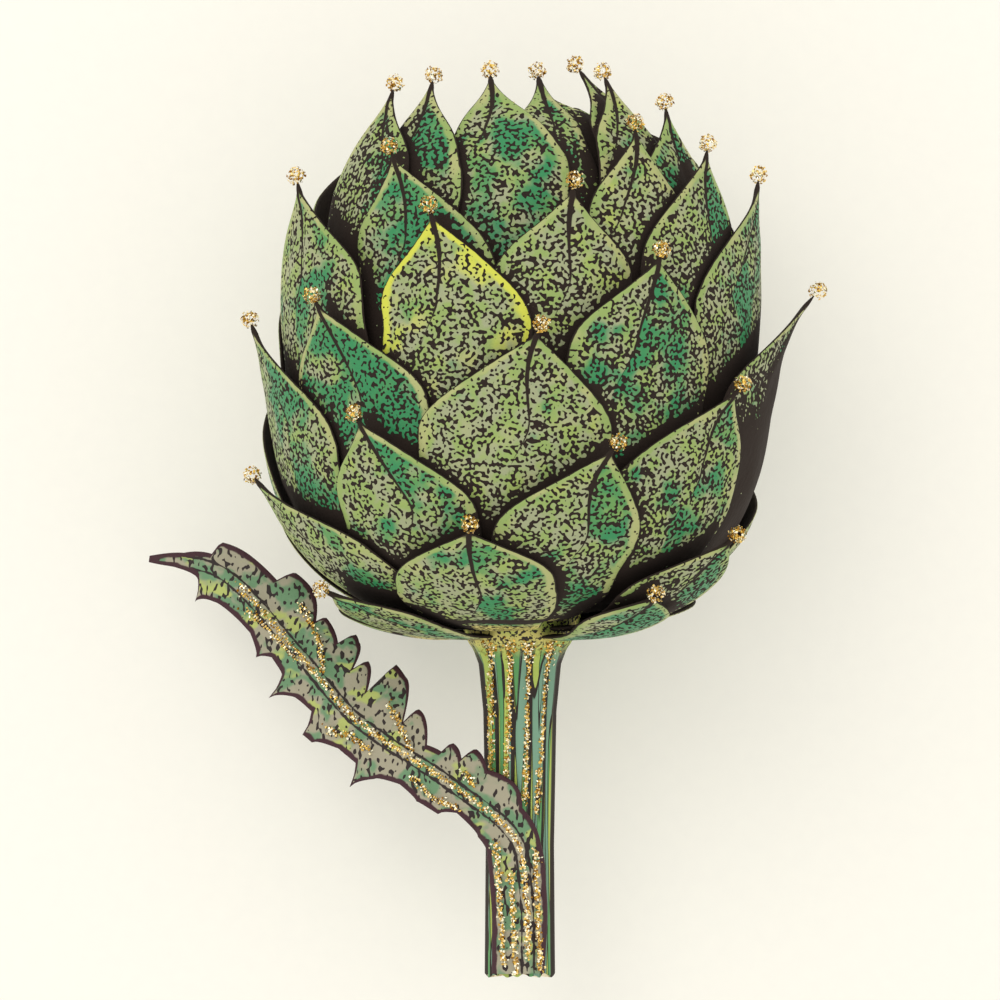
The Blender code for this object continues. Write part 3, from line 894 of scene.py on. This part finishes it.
    def core(self, pose: Pose) -> Shell:
        """The closed middle that the young bracts lie on, inked all dark as painted shade: the head's
        outline, set deeper.
        """
        deepest = max(bract.inset for bract in self.young) + 0.0022
        arc = np.linspace(0.30, 0.999, 40) * self.meridian.length
        radius, height = self.meridian.point(arc, deepest + 0.1 * (self.meridian.length - arc))
        turn = np.arange(self.ring) * 2 * math.pi / self.ring
        radius = np.maximum(radius, 0.0002)[:, None]
        points = pose.place(radius * np.sin(turn), radius * np.cos(turn), height[:, None])
        blank = np.zeros(points.shape)
        return Shell(points, {"skin": blank, "tint_and_shade": blank + (0.0, 0.0, 1.0), "foot": blank + 1.0})

    def build(self, pose: Pose, glitter: "Glitter") -> None:
        """Make every bract and the bud, and put a bead of glitter at each open spine.

        Args:
            pose: The way to the world.
            glitter: Collects the flakes.
        """
        rng = np.random.default_rng(self.seed)
        material = BractSkin().material()
        for bract in self.bracts:
            shell = self.shell(bract, pose, rng)
            piece = make_piece(f"skin_of_{bract.name}", [shell])
            hand_in(piece, material, "bract_skin", bract.name)
            tip = shell.points[-1].mean(axis=0)
            glitter.bead(tip + (tip - shell.points[-9].mean(axis=0)) * 0.25)
        shells = [self.shell(bract, pose, rng) for bract in self.young] + [self.core(pose)]
        bud_skin = BractSkin("bud_skin", pale=(196, 200, 140), leafy=(160, 190, 100)).material()
        hand_in(make_piece("closed_bud", shells), bud_skin, "bud_skin", "inner_bud")


@dataclass
class Stem:
    """The ribbed stem with the receptacle that widens from it."""

    shape: StemShape
    ribs: int = 12
    rib_height: float = 0.00032
    ring: int = 180
    rows: int = 120
    cut_rings: tuple[float, ...] = (0.02, 0.25, 0.5, 0.75, 0.92)
    roof_rings: tuple[float, ...] = (0.7, 0.3, 0.01)

    def rib(self, height: Array, turn: Array) -> Array:
        """1 at a rib's crest and -1 between ribs: cos(ribs * turn + 0.6 sin(height / 12 mm))."""
        return np.cos(self.ribs * turn + 0.6 * np.sin(height / 0.012))

    def side(self, height: Array, turn: Array) -> Array:
        """Radius of the ribbed side: outline + rib height * (rib - 1), fading into the heart."""
        fade = smooth_step(-height, -0.002, 0.006)
        return self.shape.outline(height) + self.rib_height * (self.rib(height, turn) - 1.0) * fade

    def build(self, pose: Pose) -> None:
        """Make the stem as one closed turned skin with a slightly hollow, ragged cut end.

        Args:
            pose: The way to the world.
        """
        turn = (np.arange(self.ring) * 2 * math.pi / self.ring)[None, :]
        climb = np.linspace(-self.shape.length, self.shape.heart_top, self.rows)[:, None]
        ragged = 0.0005 * (1 + np.sin(5 * turn + 1.0) * np.sin(13 * turn))
        near_end = smooth_step(-climb, self.shape.length - 0.003, self.shape.length)
        height = climb + ragged * near_end
        radius = self.side(height, turn)
        inwards = np.array(self.cut_rings)[:, None]
        end_radius = radius[:1] * inwards
        end_height = height[:1] + 0.0006 * (1 - inwards) + 0.0001 * np.sin(9 * turn) * inwards
        roof = np.array(self.roof_rings)[:, None]
        radius = np.concatenate((end_radius, radius, radius[-1:] * roof))
        height = np.concatenate((end_height, height, np.repeat(height[-1:], len(roof), axis=0)))
        points = pose.place(radius * np.sin(turn), radius * np.cos(turn), height)
        rib = self.rib(height, turn)
        heart = smooth_step(height, -0.0035, 0.0015)
        cut = np.zeros(height.shape)
        cut[:len(self.cut_rings)] = 1.0
        around = np.stack(np.broadcast_arrays(np.cos(turn), np.sin(turn), height * 5), axis=-1)
        skin = np.stack(np.broadcast_arrays(rib, heart, cut), axis=-1)
        piece = make_piece("ribbed_stem", [Shell(points, {"skin": skin, "around": around})])
        hand_in(piece, StemSkin().material(), "stem_skin", "stem_and_heart")


@dataclass
class Leaf:
    """The toothed leaf: its outline along the midrib, and how it hangs from the stem."""

    stem: StemShape
    head_radius: float
    thickness: float = 0.0011
    seat_gap: float = 0.0003
    sheath: float = 0.026
    blend: float = 0.014
    sag: float = 12.0
    ring: int = 44
    upper_share: float = 1.13
    lower_share: float = 1.07
    rib_height: float = 0.0006
    look_ahead: float = 0.002
    glitter_lift: float = 0.0007
    midrib: tuple[Point2, ...] = (
        (-1.3832, 1.2537), (-1.1028, 1.2090), (-0.8224, 0.9701), (-0.5981, 0.7687),
        (-0.2804, 0.5970), (-0.0280, 0.4328), (0.0224, 0.2537), (0.0299, 0.0149),
    )
    upper: tuple[Point2, ...] = (
        (0.000, 0.0006), (0.007, 0.0017), (0.012, 0.0024), (0.013, 0.0050), (0.018, 0.0055),
        (0.024, 0.0056), (0.0255, 0.0090), (0.029, 0.0094), (0.0355, 0.0062), (0.0365, 0.0080),
        (0.0415, 0.0066), (0.0425, 0.0100), (0.044, 0.0096), (0.0475, 0.0058), (0.0485, 0.0087),
        (0.0535, 0.0050), (0.0545, 0.0120), (0.059, 0.0114), (0.064, 0.0046), (0.0655, 0.0080),
        (0.0705, 0.0034), (0.0735, 0.0038), (0.0745, 0.0062), (0.0775, 0.0048), (0.079, 0.0077),
        (0.083, 0.0058), (0.088, 0.0068), (0.092, 0.0044), (0.098, 0.0038), (0.122, 0.0030),
    )
    lower: tuple[Point2, ...] = (
        (0.000, 0.0006), (0.006, 0.0012), (0.011, 0.0029), (0.0125, 0.0072), (0.018, 0.0054),
        (0.025, 0.0046), (0.0285, 0.0045), (0.033, 0.0066), (0.035, 0.0043), (0.039, 0.0050),
        (0.041, 0.0098), (0.044, 0.0061), (0.0485, 0.0051), (0.0505, 0.0093), (0.0525, 0.0090),
        (0.0565, 0.0064), (0.0605, 0.0066), (0.062, 0.0110), (0.065, 0.0072), (0.070, 0.0054),
        (0.075, 0.0064), (0.080, 0.0060), (0.083, 0.0038), (0.090, 0.0051), (0.098, 0.0066),
        (0.122, 0.0068),
    )
    front_line: tuple[Point2, ...] = (
        (0.0, -0.026), (0.025, -0.018), (0.040, -0.011), (0.055, -0.003), (0.070, 0.006),
        (0.086, 0.0102),
    )
    veins: tuple[tuple[Point2, ...], ...] = (
        ((-0.0552, 0.0068), (-0.0450, -0.0032)),
        ((-0.0446, 0.0084), (-0.0420, 0.0038), (-0.0403, -0.0008), (-0.0397, -0.0058)),
        ((-0.0391, -0.0172), (-0.0344, -0.0182), (-0.0299, -0.0216)),
        ((-0.0263, -0.0120), (-0.0236, -0.0174), (-0.0216, -0.0216)),
        ((-0.0220, -0.0262), (-0.0177, -0.0306), (-0.0126, -0.0328)),
        ((-0.0110, -0.0254), (-0.0094, -0.0284)),
    )
    stalk_lines: tuple[tuple[Point2, ...], ...] = (
        ((-0.0048, -0.0398), (-0.0032, -0.0644)),
        ((-0.0018, -0.0456), (-0.0008, -0.0665)),
        ((0.0030, -0.0404), (0.0042, -0.0655)),
    )

    def __post_init__(self) -> None:
        """Run a Catmull-Rom curve through the midrib's points and measure it.

        The points are shares: sideways of the head's radius, and up of the stem's length.
        """
        line = smooth_curve(self.midrib, 40) * (self.head_radius, self.stem.length)
        self.line_side, self.line_up = line[:, 0], line[:, 1] - self.stem.length
        steps = np.hypot(np.diff(self.line_side), np.diff(self.line_up))
        self.arc = np.concatenate(([0.0], np.cumsum(steps)))
        self.length = float(self.arc[-1])

    def along(self, arc: Array) -> tuple[Array, Array, Array, Array]:
        """Midrib point and unit direction at distances from the tip."""
        ahead = np.minimum(arc + self.look_ahead, self.length)
        behind = ahead - self.look_ahead
        run = np.interp(ahead, self.arc, self.line_side) - np.interp(behind, self.arc, self.line_side)
        climb = np.interp(ahead, self.arc, self.line_up) - np.interp(behind, self.arc, self.line_up)
        size = np.hypot(run, climb)
        side = np.interp(arc, self.arc, self.line_side)
        return side, np.interp(arc, self.arc, self.line_up), run / size, climb / size

    def front(self, arc: Array, side: Array, reach: Array) -> Array:
        """Distance to the front: a circle round the stem at the foot, then a hanging sheet.

        Hanging = front line - sag * reach^2, blended by a smooth step along the blade.
        """
        wrap = self.stem.radius * self.stem.swell + self.seat_gap + self.thickness
        clasped = np.sqrt(np.maximum(wrap**2 - side**2, 0.0))
        places, fronts = zip(*self.front_line)
        hanging = np.interp(arc, places, fronts) - self.sag * reach**2
        start = self.length - self.sheath - self.blend
        share = smooth_step(arc, start, start + self.blend)
        return clasped * share + hanging * (1 - share)

    def surface(self, arc: Array, reach: Array) -> tuple[Array, Array, Array]:
        """Side, front and height on the blade, reach + towards the upper margin."""
        side, up, run, climb = self.along(arc)
        side, up = side - reach * climb, up + reach * run
        return side, self.front(arc, side, reach), up

    def nearest(self, side: Array, up: Array) -> tuple[Array, Array]:
        """Distance along the midrib and reach of plant points."""
        apart = np.hypot(side[:, None] - self.line_side, up[:, None] - self.line_up)
        arc = self.arc[np.argmin(apart, axis=1)]
        near_side, near_up, run, climb = self.along(arc)
        return arc, (up - near_up) * run - (side - near_side) * climb

    def vein_distance(self, side: Array, up: Array) -> Array:
        """Distance to the nearest side vein, each a chain of straight runs."""
        best = np.full(side.shape, 1.0)
        for vein in self.veins:
            for (ax, ay), (bx, by) in zip(vein[:-1], vein[1:]):
                run, climb = bx - ax, by - ay
                share = ((side - ax) * run + (up - ay) * climb) / (run**2 + climb**2)
                share = np.clip(share, 0.0, 1.0)
                best = np.minimum(best, np.hypot(side - ax - share * run, up - ay - share * climb))
        return best

    def build(self, pose: Pose, glitter: "Glitter") -> None:
        """Make the leaf as one closed sheet with a raised midrib, and glitter its veins.

        Front = blade + midrib ridge + ridge over each vein - thickness / 2 * (1 - side), where
        side is the cross-section ring's second parameter.

        Args:
            pose: The way to the world.
            glitter: Collects the flakes.
        """
        across, side_share = ring_parameters(self.ring)
        marks = {p[0] for p in (*self.upper, *self.lower) if p[0] < self.length - 0.0005}
        marks |= {m + 0.0004 for m in marks} | set(np.arange(0.0, self.length, 0.0005))
        arc = np.array(sorted({round(m, 4) for m in marks} | {self.length}))[:, None]
        upper = scalloped(arc, self.upper, 2.0) * self.upper_share
        lower = scalloped(arc, self.lower, 0.6) * self.lower_share
        reach = -across * np.where(across > 0, lower, upper)
        edge = (1 - np.abs(across)) * np.where(across > 0, lower, upper)
        edge = np.minimum(edge, arc * 0.5 + 0.0002)
        side, front, up = self.surface(arc, reach)
        veins = self.vein_distance(side, up)
        ridge = self.rib_height * np.exp(-((reach / 0.0014) ** 2))
        ridge = ridge + 0.00035 * np.exp(-((veins / 0.0009) ** 2))
        ridge = ridge + 0.00016 * np.sin(arc / 0.0016) * np.sin(reach / 0.0016)
        fine = smooth_step(edge, 0.0, 0.0012)
        front = front + ridge * fine * np.clip(side_share, 0, 1)
        front = front - self.thickness * (0.5 - 0.5 * side_share * (0.55 + 0.45 * fine))
        points = pose.place(side, front, up)
        edge = np.where(side_share > 0, edge, 0.0009)
        skin = np.stack(np.broadcast_arrays(reach, edge, veins), axis=-1)
        piece = make_piece("toothed_leaf", [Shell(points, {"skin": skin})])
        hand_in(piece, LeafSkin().material(), "leaf_skin", "leaf")
        self.sprinkle(pose, glitter)

    def sprinkle(self, pose: Pose, glitter: "Glitter") -> None:
        """Lines of glitter along the midrib, the veins and the clasping stalk."""
        places = np.linspace(0.020, self.length - 0.003, 60)
        side, up, _, _ = self.along(places)
        lines = [np.stack((side, up), axis=1), *map(np.array, self.veins)]
        lines += map(np.array, self.stalk_lines)
        for line in lines:
            spots = glitter.along(line, 0.00050)
            arc, reach = self.nearest(spots[:, 0], spots[:, 1])
            side, front, up = self.surface(arc, reach)
            glitter.add(pose.place(side, front + self.glitter_lift, up), (0.0, 0.0, 1.0))


def scalloped(place: Array, points: tuple[Point2, ...], power: float) -> Array:
    """A toothed margin: each run falls from its high end to its low end as a curve.

    Reach = low + (high - low) * (1 - s ** power), with s the share of the way from the high end:
    a power above 1 makes round lobes, and one below 1 makes pointed teeth.

    Args:
        place: Where to work it out.
        points: The ends of the runs, as (place, reach).
        power: The power.

    Returns:
        The reach at each place.
    """
    places, reaches = map(np.array, zip(*points))
    index = np.clip(np.searchsorted(places, place, side="right") - 1, 0, len(places) - 2)
    share = (place - places[index]) / (places[index + 1] - places[index])
    first, second = reaches[index], reaches[index + 1]
    share = np.clip(np.where(first > second, share, 1 - share), 0.0, 1.0)
    return np.minimum(first, second) + np.abs(first - second) * (1 - share**power)


def smooth_curve(points: tuple[Point2, ...], steps: int) -> Array:
    """A Catmull-Rom curve through plane points.

    Args:
        points: The points in order.
        steps: New points for each span.

    Returns:
        The curve's points, one row each.
    """
    ring = np.array(points, dtype=float)
    ring = np.vstack((2 * ring[0] - ring[1], ring, 2 * ring[-1] - ring[-2]))
    share = np.linspace(0.0, 1.0, steps, endpoint=False)[:, None]
    spans = []
    for before, start, end, after in zip(ring[:-3], ring[1:-2], ring[2:-1], ring[3:]):
        bend = 2 * before - 5 * start + 4 * end - after
        twist = -before + 3 * start - 3 * end + after
        spans.append(0.5 * (2 * start + (end - before) * share + bend * share**2 + twist * share**3))
    spans.append(ring[-2][None])
    return np.vstack(spans)


@dataclass
class Glitter:
    """All the gold flakes: each is a flat octahedron, tipped at random off its surface."""

    size: float = 0.00030
    bead_radius: float = 0.0019
    bead_flakes: int = 130
    per_metre: float = 10500.0
    lean: float = 0.45
    seed: int = 21
    stem_runs: tuple[tuple[Point2, Point2], ...] = (
        ((-0.0056, -0.0005), (-0.0054, -0.0268)), ((-0.0018, -0.0005), (-0.0026, -0.0286)),
        ((0.0018, -0.0005), (0.0010, -0.0318)), ((0.0058, -0.0002), (0.0030, -0.0340)),
    )

    def __post_init__(self) -> None:
        """Start with no flakes."""
        self.rng = np.random.default_rng(self.seed)
        self.centres: list[Array] = []
        self.normals: list[Array] = []

    def add(self, centres: Array, normals: object) -> None:
        """Add flakes at world points, facing along the normals."""
        self.centres.append(centres)
        self.normals.append(np.broadcast_to(np.asarray(normals, dtype=float), centres.shape))

    def bead(self, centre: Array) -> None:
        """A ball of flakes: points on a sphere, each pushed in by up to a third."""
        way = self.rng.normal(size=(self.bead_flakes, 3))
        way /= np.linalg.norm(way, axis=1, keepdims=True)
        centre = np.array((centre[0], centre[1], max(centre[2], self.bead_radius + self.size)))
        reach = self.bead_radius * self.rng.uniform(0.66, 1.0, (self.bead_flakes, 1))
        self.add(centre + way * reach, way)

    def along(self, line: Array, spread: float) -> Array:
        """Random spots along a chain of plane points, with a normal spread on each side."""
        steps = np.linalg.norm(np.diff(line, axis=0), axis=1)
        arc = np.concatenate(([0.0], np.cumsum(steps)))
        count = max(8, int(arc[-1] * self.per_metre))
        place = self.rng.uniform(0.0, arc[-1], count)
        spots = np.stack([np.interp(place, arc, line[:, i]) for i in (0, 1)], axis=1)
        head = place < 0.003
        width = np.where(head, 1.6, 1.0)[:, None] * spread
        return spots + self.rng.normal(0.0, 1.0, spots.shape) * width * 0.6

    def stem_lines(self, stem: Stem, pose: Pose) -> None:
        """Four lines of glitter down the front of the stem, each with a blob at its top.

        Args:
            stem: The ribbed stem.
            pose: The way to the world.
        """
        for run in self.stem_runs:
            spots = self.along(np.array(run), 0.00046)
            blob = np.array(run[0]) + self.rng.normal(0.0, 0.0008, (40, 2))
            spots = np.concatenate((spots, blob))
            limit = stem.shape.outline(spots[:, 1]) * 0.93
            turn = np.arcsin(np.clip(spots[:, 0] / limit, -0.98, 0.98))
            radius = stem.side(spots[:, 1], turn) + self.size * 0.5
            side, front = radius * np.sin(turn), radius * np.cos(turn)
            normal = pose.place(np.sin(turn), np.cos(turn), 0.0) - pose.place(0.0, 0.0, 0.0)
            self.add(pose.place(side, front, spots[:, 1]), normal)

    def build(self) -> None:
        """Make every flake in one mesh.

        A flake's corners are centre +- long, +- wide and +- thin axes; the thin axis is the
        surface normal plus a random lean, and the others are at right angles to it.
        """
        centre = np.concatenate(self.centres)
        normal = np.concatenate(self.normals) + self.rng.normal(0.0, self.lean, centre.shape)
        normal /= np.linalg.norm(normal, axis=1, keepdims=True)
        long = np.cross(normal, self.rng.normal(size=centre.shape))
        long /= np.linalg.norm(long, axis=1, keepdims=True)
        wide = np.cross(normal, long)
        size = self.size * self.rng.uniform(0.6, 1.35, (len(centre), 1))
        axes = (long * size, wide * size * 0.85, normal * size * 0.30)
        corners = np.stack([centre + s * a for a in axes for s in (1, -1)], axis=1)
        pattern = np.array(((0, 2, 4), (2, 1, 4), (1, 3, 4), (3, 0, 4),
                            (2, 0, 5), (1, 2, 5), (3, 1, 5), (0, 3, 5)))
        faces = (np.arange(len(centre))[:, None, None] * 6 + pattern).reshape(-1, 3)
        mesh = bpy.data.meshes.new("gold_flakes")
        mesh.from_pydata(corners.reshape(-1, 3), [], faces.tolist())
        chance = np.repeat(self.rng.uniform(0, 1, len(centre)), 6)
        store_values(mesh, "skin", np.stack((chance, chance, chance), axis=1))
        piece = add_piece("gold_flakes", mesh, False)
        hand_in(piece, GoldGlitter().material(), "gold_glitter")


@dataclass
class Studio:
    """A plain pale floor, soft light from the upper left, and the camera over the artichoke."""

    pose: Pose
    aim: tuple[float, float, float] = (-0.004, 0.015, 0.029)
    distance: float = 2.4
    field_of_view: float = 0.200
    sensor: float = 36.0
    floor_colour: Colour = (210, 208, 199)
    floor_grain: Colour = (206, 204, 196)
    floor_glow: Colour = (255, 252, 242)
    glow_strength: float = 0.29
    floor_half: float = 3.0
    floor_height: float = -0.0003
    ambient: float = 1.08
    key_power: float = 3.0
    key_size: float = 0.7
    key_place: tuple[float, float, float] = (-0.42, 0.42, 1.15)
    key_turn: tuple[float, float, float] = (-20.0, -19.0, 0.0)

    def build(self) -> None:
        """Make the floor, the lights and the camera."""
        self.floor()
        self.lights()
        self.camera()

    def floor(self) -> None:
        """A large flat sheet just under the surface that the artichoke lies on."""
        half, low = self.floor_half, self.floor_height
        mesh = bpy.data.meshes.new("floor")
        corners = [(-half, -half, low), (half, -half, low), (half, half, low), (-half, half, low)]
        mesh.from_pydata(corners, [], [(0, 1, 2, 3)])
        floor = add_piece("floor", mesh, False)
        g = Graph("floor_paper")
        grain = g.mix(g.noise(300.0, 2.0), self.floor_grain, self.floor_colour)
        g.shader.inputs["Emission Color"].default_value = linear(self.floor_glow)
        g.shader.inputs["Emission Strength"].default_value = self.glow_strength
        mesh.materials.append(g.finish(grain, g.noise(900.0, 2.0), 0.0002, 0.9, 0.1))

    def lights(self) -> None:
        """An even pale sky, and one large soft lamp from the upper left."""
        world = bpy.data.worlds.new("pale_room")
        bpy.context.scene.world = world
        world.use_nodes = True
        sky = world.node_tree.nodes["Background"]
        sky.inputs["Color"].default_value = (1.0, 0.985, 0.955, 1.0)
        sky.inputs["Strength"].default_value = self.ambient
        lamp = bpy.data.lights.new("key", "AREA")
        lamp.energy = self.key_power
        lamp.shape = "DISK"
        lamp.size = self.key_size
        lamp.color = (1.0, 0.975, 0.93)
        key = bpy.data.objects.new("key", lamp)
        bpy.context.scene.collection.objects.link(key)
        key.location = self.key_place
        key.rotation_euler = tuple(map(math.radians, self.key_turn))
        bpy.context.scene.view_settings.view_transform = "Standard"

    def camera(self) -> None:
        """A long lens that looks down square on the plant's front, with its axis upright."""
        lens = bpy.data.cameras.new("camera")
        lens.sensor_width = self.sensor
        lens.lens = self.sensor * self.distance / self.field_of_view
        lens.clip_end = 20.0
        camera = bpy.data.objects.new("camera", lens)
        bpy.context.scene.collection.objects.link(camera)
        side, front, up = self.aim
        camera.location = self.pose.place(side, front + self.distance, up)
        camera.rotation_euler = (math.atan2(self.pose.sine, self.pose.cosine), 0.0, 0.0)
        bpy.context.scene.camera = camera


def main() -> None:
    """Build every sub-assembly in order."""
    logging.basicConfig(level=logging.INFO, format="%(name)s %(message)s")
    stem_shape = StemShape()
    meridian = Meridian()
    head = Head(meridian, stem_shape)
    rest = next(bract for bract in head.bracts if bract.name == "bract_5_6")
    pose = Pose(rest, stem_shape)
    glitter = Glitter()
    head.build(pose, glitter)
    stem = Stem(stem_shape)
    stem.build(pose)
    Leaf(stem_shape, meridian.widest).build(pose, glitter)
    glitter.stem_lines(stem, pose)
    glitter.build()
    Studio(pose).build()


if __name__ == "__main__":
    main()
